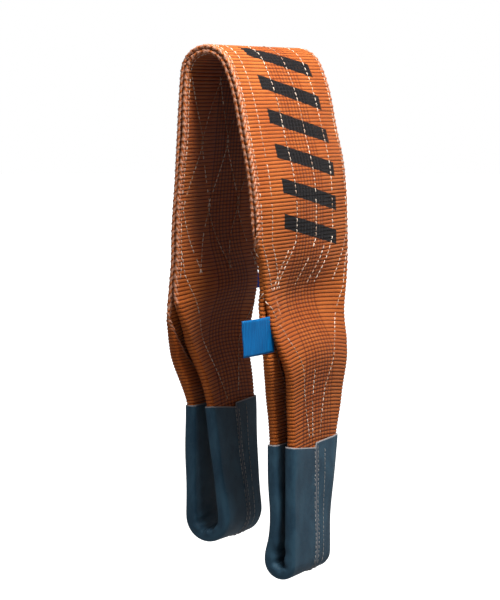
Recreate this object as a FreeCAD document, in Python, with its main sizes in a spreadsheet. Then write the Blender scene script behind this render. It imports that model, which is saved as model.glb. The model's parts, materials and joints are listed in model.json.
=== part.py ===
"""Flat web sling: a wide two-ply webbing lifting sling with a folded, sleeved eye at each end,
hung doubled over a round bar. Millimetres, +Z up.

Frame: the origin is on the axis of the bar that the sling hangs over. X runs from the left leg to
the right leg, Y runs across the webbing (front edge at -Y) and Z is up.

Each moving stretch of webbing is modelled in a local frame of its own, with the origin on its hinge
axis, -Z along the webbing as it leaves the hinge and +X on the outer face. The left leg is the right
leg's layout turned half a turn about Z, so local +Y is the sling's back edge on the right leg and its
front edge on the left leg.
"""

import FreeCAD, Part
import math
import os
import re

import Sketcher
from FreeCAD import Placement, Rotation, Vector

# ---------------------------------------------------------------- driving dimensions

SIZES = [
    ("web_width", 180, "width of the webbing"),
    ("ply_thickness", 4, "thickness of one ply of webbing"),
    ("ply_gap", 0.3, "space between the two sewn plies"),
    ("seat_radius", 20, "inside radius of the top bend, where the bar sits"),
    ("hinge_clearance", 0.35, "free space at each place where the webbing bends"),
    ("ease_run", 8, "straight webbing straight after a hinge axis"),
    ("right_exit", 25, "right leg: angle from the vertical where it leaves the top bend"),
    ("right_first_radius", 229, "right leg: radius of the first easing bend"),
    ("right_first_turn", 10, "right leg: turn of the first easing bend, degrees"),
    ("right_first_run", 37, "right leg: straight run after the first bend"),
    ("right_second_radius", 246, "right leg: radius of the second easing bend"),
    ("right_second_turn", 14, "right leg: turn of the second easing bend, degrees"),
    ("right_second_run", 72, "right leg: straight run down to the crotch"),
    ("left_exit", 10, "left leg: angle from the vertical where it leaves the top bend"),
    ("left_first_radius", 382, "left leg: radius of the first easing bend"),
    ("left_first_turn", 6, "left leg: turn of the first easing bend, degrees"),
    ("left_first_run", 52, "left leg: straight run after the first bend"),
    ("left_second_radius", 1146, "left leg: radius of the second easing bend"),
    ("left_second_turn", 2, "left leg: turn of the second easing bend, degrees"),
    ("left_second_run", 57, "left leg: straight run down to the crotch"),
    ("eye_width", 90, "width of the eye webbing, folded to half"),
    ("fold_start", 8, "distance below the crotch where the edges start to fold in"),
    ("fold_end", 120, "distance below the crotch where the edges meet at the middle"),
    ("flap_slit", 1, "space between the two folded edges at the middle"),
    ("right_outer_radius", 312, "right eye, outer branch: radius of each parting bend"),
    ("right_outer_turn", 8.3, "right eye, outer branch: turn of each parting bend, degrees"),
    ("right_inner_radius", 195, "right eye, inner branch: radius of each parting bend"),
    ("right_inner_turn", 13.2, "right eye, inner branch: turn of the first parting bend, degrees"),
    ("right_lean", 0, "right eye, inner branch: lean away from the outer branch, degrees"),
    ("right_bend_depth", 260.5, "right eye: crotch to the axis of the bend at its bottom"),
    ("right_mouth", 146, "right eye: crotch to the sleeve's mouth"),
    ("left_outer_radius", 312, "left eye, outer branch: radius of each parting bend"),
    ("left_outer_turn", 8.6, "left eye, outer branch: turn of each parting bend, degrees"),
    ("left_inner_radius", 200, "left eye, inner branch: radius of each parting bend"),
    ("left_inner_turn", 11, "left eye, inner branch: turn of the first parting bend, degrees"),
    ("left_lean", 8, "left eye, inner branch: lean away from the outer branch, degrees"),
    ("left_bend_depth", 234, "left eye: crotch to the axis of the bend at its bottom"),
    ("left_mouth", 125, "left eye: crotch to the sleeve's mouth"),
    ("sleeve_fabric", 1.3, "thickness of the wear sleeve's fabric"),
    ("sleeve_slack", 0.3, "space between the sleeve and the folded webbing"),
    ("sleeve_corner", 2, "outside corner radius of the sleeve"),
    ("overlap_thickness", 1.1, "thickness of the sleeve's overlapping edge"),
    ("overlap_front", 10, "sleeve overlap: edge, in front of the middle"),
    ("overlap_back", 38, "sleeve overlap: end, behind the middle"),
    ("seam_front", 7.5, "sleeve seam: first row of stitching, in front of the middle"),
    ("seam_back", 11, "sleeve seam: second row of stitching, behind the middle"),
    ("thread_width", 1.2, "width of a row of stitching"),
    ("thread_proud", 0.5, "height of the stitching above the webbing"),
    ("thread_sink", 0.3, "depth of the stitching in the webbing"),
    ("row_front_edge", -84, "stitching row at the front edge"),
    ("row_front", -68, "second stitching row from the front"),
    ("row_front_middle", -26, "stitching row in front of the middle"),
    ("row_back_middle", 13, "stitching row behind the middle"),
    ("row_back", 51, "second stitching row from the back"),
    ("row_back_edge", 84, "stitching row at the back edge"),
    ("bobbin_start", 7, "stitching on the inner side: distance below the top hinge"),
    ("pattern_height", 40, "height of the slanting stitching above a crotch"),
    ("pattern_margin", 8, "unstitched webbing between that stitching and the crotch"),
    ("pattern_slant", 24, "sideways run of the slanting stitching"),
    ("fold_row", 14, "fold stitching: distance from the middle at the sleeve's mouth"),
    ("fold_row_top", 80, "fold stitching: distance from the middle at its top end"),
    ("label_hinge", 87, "labels: distance of the bending line from the middle"),
    ("label_root", 26, "labels: length sewn in between the plies"),
    ("label_offset", 0.15, "labels: distance inwards from the middle of the two plies"),
    ("main_label_thickness", 0.8, "identification label: thickness"),
    ("main_label_top", 23, "identification label: crotch to its top edge"),
    ("main_label_height", 34, "identification label: height"),
    ("main_label_free", 26.4, "identification label: length that stands out of the webbing"),
    ("small_tag_thickness", 0.5, "small tag: thickness"),
    ("small_tag_top", 18, "small tag: crotch to its top edge"),
    ("small_tag_height", 15, "small tag: height"),
    ("small_tag_free", 24.4, "small tag: length that stands out of the webbing"),
]

ROWS = ["row_front_edge", "row_front", "row_front_middle", "row_back_middle", "row_back", "row_back_edge"]
STACK = "(2 * ply_thickness + ply_gap)"
OUTSIDE = "(ply_thickness + ply_gap / 2)"
MIDDLE_RADIUS = f"(seat_radius + {STACK} / 2)"
BEND_END_TURN = f"asin(({STACK} / 2 + hinge_clearance) / {MIDDLE_RADIUS}) / 1 deg"
SLEEVE_INSIDE = "(ply_thickness + sleeve_slack)"
SLEEVE_OUTSIDE = "(ply_thickness + sleeve_slack + sleeve_fabric)"
SLEEVE_SIDE = "(eye_width / 2 + sleeve_slack + sleeve_fabric)"

doc = FreeCAD.newDocument("flat_web_sling")
sheet = doc.addObject("Spreadsheet::Sheet", "Sizes")
for line, (alias, number, meaning) in enumerate(SIZES, 1):
    sheet.set(f"A{line}", meaning)
    sheet.set(f"B{line}", str(number))
    sheet.setAlias(f"B{line}", alias)
doc.recompute()


def bound(formula):
    """The formula as an expression that reads the sheet."""
    return re.sub(r"\b([a-z]+_[a-z_]+)\b", r"Sizes.\1", formula)


def value(formula):
    """The number that a formula has now."""
    return float(sheet.evalExpression(bound(formula)))


# ---------------------------------------------------------------- sketches


def plane(body, role):
    return next(o for o in body.Origin.OriginFeatures if o.Role == role)


def sketch_on(body, role, name):
    sketch = body.newObject("Sketcher::SketchObject", name)
    sketch.AttachmentSupport = [(plane(body, role), "")]
    sketch.MapMode = "FlatFace"
    return sketch


def constrain(sketch, kind, where, formula, turn=False):
    """Adds a dimension and binds it to the sheet."""
    number = value(formula)
    datum = math.radians(number) if turn else number
    index = sketch.addConstraint(Sketcher.Constraint(kind, *where, datum))
    sketch.setExpression(f"Constraints[{index}]", bound(formula))


def pin_point(sketch, edge, end, x, y):
    constrain(sketch, "DistanceX", (-1, 1, edge, end), x)
    constrain(sketch, "DistanceY", (-1, 1, edge, end), y)


def polygon(sketch, corners):
    """A closed polygon whose corners are pairs of formulas."""
    points = [Vector(value(x), value(y), 0) for x, y in corners]
    first = sketch.GeometryCount
    count = len(points)
    for i in range(count):
        sketch.addGeometry(Part.LineSegment(points[i], points[(i + 1) % count]), False)
    for i in range(count):
        sketch.addConstraint(Sketcher.Constraint("Coincident", first + i, 2, first + (i + 1) % count, 1))
    for i, (x, y) in enumerate(corners):
        pin_point(sketch, first + i, 1, x, y)


def rectangle(sketch, x0, x1, y0, y1):
    polygon(sketch, [(x0, y0), (x1, y0), (x1, y1), (x0, y1)])


def rounded_rectangle(sketch, x0, x1, y0, y1, radius):
    """A rectangle with round corners, as four sides and four tangent arcs."""
    left, right, low, high, r = (value(f) for f in (x0, x1, y0, y1, radius))
    corners = [(right - r, low + r), (right - r, high - r), (left + r, high - r), (left + r, low + r)]
    first = sketch.GeometryCount
    for i, (cx, cy) in enumerate(corners):
        start = math.radians(90 * i - 90)
        arc = Part.ArcOfCircle(
            Part.Circle(Vector(cx, cy, 0), Vector(0, 0, 1), r), start, start + math.pi / 2
        )
        sketch.addGeometry(arc, False)
    for i in range(4):
        a = sketch.getPoint(first + i, 2)
        b = sketch.getPoint(first + (i + 1) % 4, 1)
        sketch.addGeometry(Part.LineSegment(a, b), False)
    for i in range(4):
        side = first + 4 + i
        sketch.addConstraint(Sketcher.Constraint("Tangent", first + i, 2, side, 1))
        sketch.addConstraint(Sketcher.Constraint("Tangent", side, 2, first + (i + 1) % 4, 1))
        sketch.addConstraint(Sketcher.Constraint("Vertical" if i % 2 == 0 else "Horizontal", side))
        constrain(sketch, "Radius", (first + i,), radius)
    constrain(sketch, "DistanceX", (-1, 1, first + 4, 1), x1)
    constrain(sketch, "DistanceY", (-1, 1, first + 5, 1), y1)
    constrain(sketch, "DistanceX", (-1, 1, first + 6, 1), x0)
    constrain(sketch, "DistanceY", (-1, 1, first + 7, 1), y0)


def strap_path(body, name, start, runs):
    """The webbing's route in the XZ plane: it starts straight down and is made of tangent runs.

    A run is ("line", length) or ("arc", radius, turn), where a positive turn bends towards +X on the
    way down.
    """
    sketch = sketch_on(body, "XZ_Plane", name)
    x, z = value(start[0]), value(start[1])
    heading = 0.0
    ends = []
    for run in runs:
        first = value(run[1])
        if run[0] == "line":
            to = (x + first * math.sin(heading), z - first * math.cos(heading))
            sketch.addGeometry(Part.LineSegment(Vector(x, z, 0), Vector(*to, 0)), False)
            ends.append((1, 2))
        else:
            turn = math.radians(value(run[2]))
            side = math.copysign(1, turn)
            cx = x + side * first * math.cos(heading)
            cz = z + side * first * math.sin(heading)
            circle = Part.Circle(Vector(cx, cz, 0), Vector(0, 0, 1), first)
            angle = heading + (math.pi if side > 0 else 0)
            spans = (angle, angle + turn) if side > 0 else (angle + turn, angle)
            sketch.addGeometry(Part.ArcOfCircle(circle, *spans), False)
            ends.append((1, 2) if side > 0 else (2, 1))
            heading += turn
            to = (cx - side * first * math.cos(heading), cz - side * first * math.sin(heading))
        x, z = to
    for i, run in enumerate(runs):
        if i:
            sketch.addConstraint(Sketcher.Constraint("Tangent", i - 1, ends[i - 1][1], i, ends[i][0]))
        if run[0] == "line":
            constrain(sketch, "Distance", (i,), run[1])
        else:
            constrain(sketch, "Radius", (i,), run[1])
            constrain(sketch, "Angle", (i,), run[2].lstrip("-"), turn=True)
    sketch.addConstraint(Sketcher.Constraint("Vertical", 0))
    pin_point(sketch, 0, ends[0][0], *start)
    return sketch


def walk(x, z, heading, runs):
    """Where a route of runs ends, and its heading there, in degrees."""
    heading = math.radians(heading)
    for run in runs:
        if run[0] == "line":
            x += value(run[1]) * math.sin(heading)
            z -= value(run[1]) * math.cos(heading)
        else:
            radius, turn = value(run[1]), math.radians(value(run[2]))
            side = math.copysign(1, turn)
            x += side * radius * (math.cos(heading) - math.cos(heading + turn))
            z += side * radius * (math.sin(heading) - math.sin(heading + turn))
            heading += turn
    return x, z, math.degrees(heading)


# ---------------------------------------------------------------- features


def new_body(name):
    body = doc.addObject("PartDesign::Body", name)
    body.AllowCompound = True
    return body


def sweep(body, name, path, section):
    """Sweeps a section along a route, as one strap or several side by side."""
    pipe = body.newObject("PartDesign::AdditivePipe", name)
    pipe.Profile = section
    pipe.Spine = (path, [f"Edge{i + 1}" for i in range(path.GeometryCount)])
    return pipe


def pocket_through(body, name, sketch):
    """Cuts a sketch through the whole body, both ways, and checks that it cut something."""
    doc.recompute()
    before = body.Shape.Volume
    cut = body.newObject("PartDesign::Pocket", name)
    cut.Profile = sketch
    cut.Type = "ThroughAll"
    cut.SideType = "Symmetric"
    doc.recompute()
    if not body.Shape.Volume < before - 1:
        raise RuntimeError(f"{body.Name}: {name} cuts nothing")
    return cut


def round_end(body, name):
    """Rounds the hinged end about the hinge axis, so that it turns inside its clearance."""
    sketch = sketch_on(body, "XZ_Plane", name)
    r = value(STACK + " / 2")
    far = value(STACK)
    corners = [(r, 0), (far, 0), (far, far), (-far, far), (-far, 0), (-r, 0)]
    for a, b in zip(corners, corners[1:]):
        sketch.addGeometry(Part.LineSegment(Vector(*a, 0), Vector(*b, 0)), False)
    circle = Part.Circle(Vector(0, 0, 0), Vector(0, 0, 1), r)
    sketch.addGeometry(Part.ArcOfCircle(circle, 0, math.pi), False)
    for i in range(4):
        sketch.addConstraint(Sketcher.Constraint("Coincident", i, 2, i + 1, 1))
    sketch.addConstraint(Sketcher.Constraint("Coincident", 4, 2, 5, 2))
    sketch.addConstraint(Sketcher.Constraint("Coincident", 5, 1, 0, 1))
    sketch.addConstraint(Sketcher.Constraint("Coincident", 5, 3, -1, 1))
    sketch.addConstraint(Sketcher.Constraint("PointOnObject", 0, 1, -1))
    sketch.addConstraint(Sketcher.Constraint("PointOnObject", 4, 2, -1))
    constrain(sketch, "Radius", (5,), STACK + " / 2")
    pin_point(sketch, 0, 2, STACK, "0")
    pin_point(sketch, 1, 2, STACK, STACK)
    pin_point(sketch, 2, 2, "-" + STACK, STACK)
    pin_point(sketch, 3, 2, "-" + STACK, "0")
    pocket_through(body, name + "_cut", sketch)


def prism(name, polygons):
    """Polygons across the webbing, as solids that run through it along X."""
    body = new_body(name)
    sketch = sketch_on(body, "YZ_Plane", name + "_outline")
    for corners in polygons:
        polygon(sketch, corners)
    pad = body.newObject("PartDesign::Pad", name + "_pad")
    pad.Profile = sketch
    pad.SideType = "Symmetric"
    pad.setExpression("Length", bound("web_width"))
    return body


parts = {}


def keep(node, part, placement):
    """Names a finished sub-part and puts it in its place on the sling."""
    part.Label = node
    part.Placement = placement
    parts[node] = part


def section_at(body, name, height):
    """A sketch for a section of the webbing, at the height where its route starts."""
    section = sketch_on(body, "XY_Plane", name)
    section.AttachmentOffset = Placement(Vector(0, 0, value(height)), Rotation())
    return section


def stitch_rows(section, rows, low, high, mirror=1):
    """Small rectangles, one for each row of stitching."""
    for row in rows:
        middle = row if mirror > 0 else f"-{row}"
        rectangle(section, low, high, f"{middle} - thread_width / 2", f"{middle} + thread_width / 2")


# ---------------------------------------------------------------- top bend

BEND_PLIES = {
    "inner_ply_top": ("seat_radius", "seat_radius + ply_thickness"),
    "outer_ply_top": ("seat_radius + ply_thickness + ply_gap", f"seat_radius + {STACK}"),
}


def revolve(body, name, section):
    """Turns a section about the bar's axis, from the right leg's hinge over the top to the left leg's."""
    turn = body.newObject("PartDesign::Revolution", name)
    turn.Profile = section
    turn.ReferenceAxis = (plane(body, "Y_Axis"), [""])
    turn.Reversed = True
    turn.setExpression("Angle", bound(f"180 - right_exit - left_exit - 2 * {BEND_END_TURN}"))
    return turn


def build_top_bend():
    start = value("right_exit") + value(BEND_END_TURN)
    placement = Placement(Vector(0, 0, 0), Rotation(Vector(0, 1, 0), -start))
    for node, (low, high) in BEND_PLIES.items():
        body = new_body(node + "_body")
        section = sketch_on(body, "XY_Plane", node + "_section")
        rectangle(section, low, high, "-web_width / 2", "web_width / 2")
        revolve(body, node + "_revolution", section)
        keep(node, body, placement)
    body = new_body("stitching_top_body")
    section = sketch_on(body, "XY_Plane", "stitching_top_section")
    surface = f"seat_radius + {STACK}"
    stitch_rows(section, ROWS, f"{surface} - thread_sink", f"{surface} + thread_proud")
    revolve(body, "stitching_top_revolution", section)
    keep("stitching_top", body, placement)


# ---------------------------------------------------------------- legs


def leg_runs(side, last):
    """The leg's route from its hinge at the top bend down to the crotch."""
    return [
        ("line", "ease_run"),
        ("arc", f"{side}_first_radius", f"-{side}_first_turn"),
        ("line", f"{side}_first_run"),
        ("arc", f"{side}_second_radius", f"-{side}_second_turn"),
        ("line", last),
    ]


def leg_body(side, node, draw, last, top="0"):
    """Sweeps what draw(section) draws down the leg, from a height above its hinge."""
    body = new_body(node + "_body")
    runs = leg_runs(side, last)
    runs[0] = ("line", f"{runs[0][1]} + {top}")
    path = strap_path(body, node + "_path", ("0", top), runs)
    section = section_at(body, node + "_section", top)
    draw(section)
    sweep(body, node + "_sweep", path, section)
    return body


def build_leg(side, mirror):
    exit_angle = value(f"{side}_exit")
    reach = value(MIDDLE_RADIUS)
    hinge = Vector(
        mirror * reach * math.cos(math.radians(exit_angle)), 0, reach * math.sin(math.radians(exit_angle))
    )
    placement = Placement(hinge, Rotation(Vector(0, 1, 0), -exit_angle))
    if mirror < 0:
        placement = Placement(hinge, Rotation(Vector(0, 0, 1), 180) * Rotation(Vector(0, 1, 0), -exit_angle))
    web_last = f"{side}_second_run - {STACK} / 2 - hinge_clearance"
    row_last = f"{side}_second_run - pattern_height - pattern_margin"

    for node, low, high in (
        (f"outer_ply_{side}", "ply_gap / 2", OUTSIDE),
        (f"inner_ply_{side}", "-" + OUTSIDE, "-ply_gap / 2"),
    ):

        def ply(section):
            rectangle(section, low, high, "-web_width / 2", "web_width / 2")

        body = leg_body(side, node, ply, web_last, top=f"{STACK} / 2")
        round_end(body, node + "_end")
        keep(node, body, placement)

    for node, top, low, high in (
        (f"stitching_{side}", "0", f"{OUTSIDE} - thread_sink", f"{OUTSIDE} + thread_proud"),
        (f"bobbin_stitching_{side}", "-bobbin_start", f"-{OUTSIDE} - thread_proud", f"-{OUTSIDE} + thread_sink"),
    ):

        def rows(section):
            stitch_rows(section, ROWS, low, high, mirror)

        keep(node, leg_body(side, node, rows, row_last, top), placement)

    node = f"crotch_stitching_{side}"

    def skin_section(section):
        low, high = f"{OUTSIDE} - thread_sink", f"{OUTSIDE} + thread_proud"
        rectangle(section, low, high, "-web_width / 2", "web_width / 2")

    skin = leg_body(side, node, skin_section, web_last)
    x, z, heading = walk(0, 0, 0, leg_runs(side, f"{side}_second_run"))
    slants = prism(node + "_slants", [slant(row, mirror) for row in ROWS])
    slants.Placement = Placement(Vector(x, 0, z), Rotation(Vector(0, 1, 0), -heading))
    common = doc.addObject("Part::Common", node + "_rows")
    common.Base, common.Tool = skin, slants
    keep(node, common, placement)
    return placement.multVec(Vector(x, 0, z))


def slant(row, mirror):
    """One slanting row of stitching above a crotch, as a thin parallelogram across the webbing."""
    shift = -mirror if row in ("row_front_edge", "row_front") else mirror
    top = f"{mirror} * {row}"
    foot = f"({top} - {shift} * pattern_slant)"
    half = "thread_width / 2"
    return [
        (f"{top} - {half}", "pattern_margin + pattern_height"),
        (f"{foot} - {half}", "pattern_margin"),
        (f"{foot} + {half}", "pattern_margin"),
        (f"{top} + {half}", "pattern_margin + pattern_height"),
    ]


# ---------------------------------------------------------------- eyes


class Eye:
    """The formulas of one eye's route, in the frame of its crotch hinge."""

    def __init__(self, side):
        s = side
        p, q, b = (f"({s}_{n} * 1 deg)" for n in ("outer_turn", "inner_turn", "lean"))
        wide, tight = f"{s}_outer_radius", f"{s}_inner_radius"
        self.side = side
        self.outer_x = f"(ply_gap / 2 + 2 * {wide} * (1 - cos{p}))"
        self.outer_z = f"(ease_run + 2 * {wide} * sin{p})"
        self.inner_x = f"(ply_gap / 2 + {tight} * (1 - 2 * cos{q} + cos{b}))"
        self.inner_z = f"(ease_run + {tight} * (2 * sin{q} - sin{b}))"
        spread = f"({self.outer_x} + {self.inner_x}) * cos{b}"
        widening = f"({s}_bend_depth - {self.inner_z}) * sin{b}"
        self.bend_radius = f"(({spread} + {widening}) / (1 + cos{b}))"
        self.foot_z = f"({s}_bend_depth - {self.bend_radius} * sin{b})"
        self.cos_lean = f"cos{b}"
        self.bottom = ("arc", self.bend_radius, f"-(180 + {s}_lean)")

    def loop_runs(self):
        """Down the outer branch, round the bottom and up the inner branch to the crotch."""
        s = self.side
        return [
            ("line", f"ease_run + {STACK} / 2"),
            ("arc", f"{s}_outer_radius", f"{s}_outer_turn"),
            ("arc", f"{s}_outer_radius", f"-{s}_outer_turn"),
            ("line", f"{s}_bend_depth - {self.outer_z}"),
            self.bottom,
            ("line", f"({self.foot_z} - {self.inner_z}) / {self.cos_lean}"),
            ("arc", f"{s}_inner_radius", f"-({s}_inner_turn - {s}_lean)"),
            ("arc", f"{s}_inner_radius", f"{s}_inner_turn"),
            ("line", f"ease_run + {STACK} / 2"),
        ]

    def flap_runs(self):
        """The part where the two branches have parted, so that the folded edges have room."""
        return [
            ("line", f"{self.side}_bend_depth - {self.outer_z}"),
            self.bottom,
            ("line", f"({self.foot_z} - {self.inner_z}) / {self.cos_lean}"),
        ]

    def sleeve_runs(self):
        """The sleeved part only, from mouth to mouth."""
        mouth = f"{self.side}_mouth"
        return [
            ("line", f"{self.side}_bend_depth - {mouth}"),
            self.bottom,
            ("line", f"({self.foot_z} - {mouth}) / {self.cos_lean}"),
        ]


def eye_sweep(body, name, start, runs, draw):
    """Sweeps what draw(section) draws from the start point of an eye's route along its runs."""
    path = strap_path(body, name + "_path", start, runs)
    section = section_at(body, name + "_section", start[1])
    draw(section)
    sweep(body, name + "_sweep", path, section)


def loop_sweep(eye, node, low, high):
    """A full-width strap that follows the whole eye, from low to high outside its middle line."""
    body = new_body(node)

    def strap(section):
        rectangle(section, f"ply_gap / 2 + {low}", f"ply_gap / 2 + {high}", "-web_width / 2", "web_width / 2")

    eye_sweep(body, node, ("ply_gap / 2", f"{STACK} / 2"), eye.loop_runs(), strap)
    return body


def taper_outline(eye):
    """What the folding takes off each side of the webbing, as two polygons."""
    below = f"-({eye.side}_bend_depth + web_width)"
    outlines = []
    for sign in ("", "-"):
        outlines.append(
            [
                (f"{sign}(web_width / 2 + 0.01)", "-fold_start"),
                (f"{sign}(eye_width / 2)", "-fold_end"),
                (f"{sign}(eye_width / 2)", below),
                (f"{sign}web_width", below),
                (f"{sign}web_width", "-fold_start"),
            ]
        )
    return outlines


def flap_notch():
    """The space between the two folded edges, which meet at the middle where the fold ends."""
    return [
        ("-web_width / 2", "web_width"),
        ("-web_width / 2", "-fold_start"),
        ("0", "-fold_end"),
        ("web_width / 2", "-fold_start"),
        ("web_width / 2", "web_width"),
    ]


def build_eye_web(side, placement):
    """The eye's webbing: the main layer and, inside it, the two edges folded to the middle."""
    eye = Eye(side)
    node = f"eye_web_{side}"
    main = loop_sweep(eye, node + "_main", "0", "ply_thickness")
    outline = sketch_on(main, "YZ_Plane", node + "_main_outline")
    for corners in taper_outline(eye):
        polygon(outline, corners)
    pocket_through(main, node + "_main_taper", outline)
    round_end(main, node + "_main_end")

    def two_flaps(section):
        for front, back in (("-eye_width / 2", "-flap_slit / 2"), ("flap_slit / 2", "eye_width / 2")):
            rectangle(section, f"{eye.outer_x} - ply_thickness", eye.outer_x, front, back)

    flaps = new_body(node + "_flaps")
    eye_sweep(flaps, node + "_flaps", (eye.outer_x, f"-{eye.outer_z}"), eye.flap_runs(), two_flaps)
    notch = sketch_on(flaps, "YZ_Plane", node + "_flap_notch")
    polygon(notch, flap_notch())
    pocket_through(flaps, node + "_flap_notch_cut", notch)

    web = doc.addObject("Part::Fuse", node + "_fuse")
    web.Base, web.Tool = main, flaps
    keep(node, web, placement)


def build_fold_stitching(side, placement):
    """Two rows that hold each branch's folded edges down, closing in on the middle."""
    eye = Eye(side)
    node = f"fold_stitching_{side}"
    skin = loop_sweep(eye, node + "_skin", "ply_thickness - thread_sink", "ply_thickness + thread_proud")
    half = "thread_width / 2"
    top = "-(fold_start + 3)"
    mouth = f"-({side}_mouth - 2)"
    rows = []
    for sign in ("", "-"):
        rows.append(
            [
                (f"{sign}(fold_row_top - {half})", top),
                (f"{sign}(fold_row - {half})", mouth),
                (f"{sign}(fold_row + {half})", mouth),
                (f"{sign}(fold_row_top + {half})", top),
            ]
        )
    rows_body = prism(node + "_rows", rows)
    common = doc.addObject("Part::Common", node + "_common")
    common.Base, common.Tool = skin, rows_body
    keep(node, common, placement)


def sleeve_sweep(eye, body, name, draw):
    eye_sweep(body, name, (eye.outer_x, f"-{eye.side}_mouth"), eye.sleeve_runs(), draw)


def build_sleeve(side, mirror, placement):
    """The wear sleeve: a fabric tube round the folded webbing, with its overlapping edge outside."""
    eye = Eye(side)
    node = f"eye_sleeve_{side}"
    front, back = ("-overlap_front", "overlap_back") if mirror > 0 else ("-overlap_back", "overlap_front")

    def tube(section):
        x = eye.outer_x
        rounded_rectangle(
            section, f"{x} - {SLEEVE_OUTSIDE}", f"{x} + {SLEEVE_OUTSIDE}", f"-{SLEEVE_SIDE}", SLEEVE_SIDE,
            "sleeve_corner",
        )
        inner = "(eye_width / 2 + sleeve_slack)"
        rounded_rectangle(
            section, f"{x} - {SLEEVE_INSIDE}", f"{x} + {SLEEVE_INSIDE}", f"-{inner}", inner,
            "sleeve_corner - sleeve_fabric",
        )

    def overlap(section):
        x = eye.outer_x
        rectangle(section, f"{x} + {SLEEVE_OUTSIDE}", f"{x} + {SLEEVE_OUTSIDE} + overlap_thickness", front, back)

    body = new_body(node + "_body")
    sleeve_sweep(eye, body, node + "_tube", tube)
    sleeve_sweep(eye, body, node + "_overlap", overlap)
    keep(node, body, placement)

    node = f"sleeve_seam_{side}"
    surface = f"{eye.outer_x} + {SLEEVE_OUTSIDE} + overlap_thickness"
    rows = [("-seam_front", "seam_back"), ("-seam_back", "seam_front")][mirror < 0]

    def seam(section):
        stitch_rows(section, rows, f"{surface} - thread_sink", f"{surface} + thread_proud")

    body = new_body(node + "_body")
    sleeve_sweep(eye, body, node, seam)
    keep(node, body, placement)


# ---------------------------------------------------------------- labels


def build_label(node, prefix, placement):
    """A label sewn in between the plies at a crotch: its root, and the free end, which bends."""
    thickness = f"{prefix}_thickness"
    low = f"-({prefix}_top + {prefix}_height)"
    root = doc.addObject("Part::Box", node + "_root_box")
    root.setExpression("Length", bound(thickness))
    root.setExpression("Width", bound("label_root"))
    root.setExpression("Height", bound(f"{prefix}_height"))
    corner = Vector(
        value(f"-label_offset - {thickness} / 2"),
        value(f"-label_hinge + {thickness} / 2 + hinge_clearance"),
        value(low),
    )
    keep(f"{node}_root", root, placement * Placement(corner, Rotation()))

    body = new_body(node + "_body")
    sketch = sketch_on(body, "XY_Plane", node + "_outline")
    half = f"({thickness} / 2)"
    rounded_rectangle(sketch, f"-{half}", half, f"-{prefix}_free", half, f"{thickness} * 0.499")
    pad = body.newObject("PartDesign::Pad", node + "_pad")
    pad.Profile = sketch
    pad.setExpression("Length", bound(f"{prefix}_height"))
    hinge = Vector(value("-label_offset"), value("-label_hinge"), value(low))
    keep(node, body, placement * Placement(hinge, Rotation()))


# ---------------------------------------------------------------- the sling

build_top_bend()
for side, mirror in (("right", 1), ("left", -1)):
    crotch = build_leg(side, mirror)
    facing = Rotation() if mirror > 0 else Rotation(Vector(0, 0, 1), 180)
    placement = Placement(crotch, facing)
    build_eye_web(side, placement)
    build_fold_stitching(side, placement)
    build_sleeve(side, mirror, placement)
    label, prefix = ("identification_label", "main_label") if mirror > 0 else ("small_tag", "small_tag")
    build_label(label, prefix, placement)
    eye = Eye(side)
    print(f"{side}: crotch ({crotch.x:.2f}, {crotch.z:.2f}), eye bend radius {value(eye.bend_radius):.2f}")

doc.recompute()
for item in doc.Objects:
    if any(word in ("Invalid", "Error") for word in item.State):
        raise RuntimeError(f"{item.Name} failed: {item.State}")
for node, part in parts.items():
    shape = part.Shape
    if shape.isNull() or not shape.isValid() or not shape.Solids:
        raise RuntimeError(f"{node} has no valid solid")

os.makedirs("parts", exist_ok=True)
for node, part in parts.items():
    part.Shape.exportStep(f"parts/{node}.step")
    print(f"{node}: {len(part.Shape.Solids)} solids, {part.Shape.Volume / 1000:.2f} cm3")
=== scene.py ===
"""Flat web sling hung doubled over a bar: the visual model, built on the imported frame.

The webbing of each side is one long strip: outer ply, eye loop, inner ply. A point of it has
material coordinates: u along the webbing from the top of the outer ply, and w across it, which is
the frame's Y where the webbing is flat. Helpers work in millimetres; meshes are in metres.
"""

import json
import math

import bpy
import numpy as np
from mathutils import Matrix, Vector


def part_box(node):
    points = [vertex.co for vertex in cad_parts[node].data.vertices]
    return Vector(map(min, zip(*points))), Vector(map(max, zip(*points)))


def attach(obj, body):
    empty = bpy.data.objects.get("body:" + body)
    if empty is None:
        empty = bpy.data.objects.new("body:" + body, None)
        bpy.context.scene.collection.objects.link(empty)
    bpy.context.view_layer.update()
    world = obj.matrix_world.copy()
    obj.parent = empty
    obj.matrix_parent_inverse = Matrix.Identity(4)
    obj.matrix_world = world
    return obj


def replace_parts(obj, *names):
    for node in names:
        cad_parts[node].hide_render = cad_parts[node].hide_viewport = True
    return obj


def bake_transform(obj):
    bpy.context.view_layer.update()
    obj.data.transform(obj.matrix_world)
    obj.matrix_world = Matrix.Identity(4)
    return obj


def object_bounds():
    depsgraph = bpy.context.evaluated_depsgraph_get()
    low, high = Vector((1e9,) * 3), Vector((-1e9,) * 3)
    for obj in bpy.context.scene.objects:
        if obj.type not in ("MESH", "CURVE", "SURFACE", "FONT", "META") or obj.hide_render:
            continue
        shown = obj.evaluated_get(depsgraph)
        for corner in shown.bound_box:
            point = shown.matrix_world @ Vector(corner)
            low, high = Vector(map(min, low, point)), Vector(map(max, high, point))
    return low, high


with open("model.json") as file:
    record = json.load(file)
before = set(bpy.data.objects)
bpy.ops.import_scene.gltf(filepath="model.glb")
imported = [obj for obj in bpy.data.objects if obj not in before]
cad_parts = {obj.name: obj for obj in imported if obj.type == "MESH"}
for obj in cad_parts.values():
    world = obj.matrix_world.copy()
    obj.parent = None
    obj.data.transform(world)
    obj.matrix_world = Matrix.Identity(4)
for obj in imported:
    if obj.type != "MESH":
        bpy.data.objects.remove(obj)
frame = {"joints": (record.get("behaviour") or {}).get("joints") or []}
cad_low, cad_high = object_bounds()
MM = 0.001
random = np.random.default_rng(11)

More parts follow.
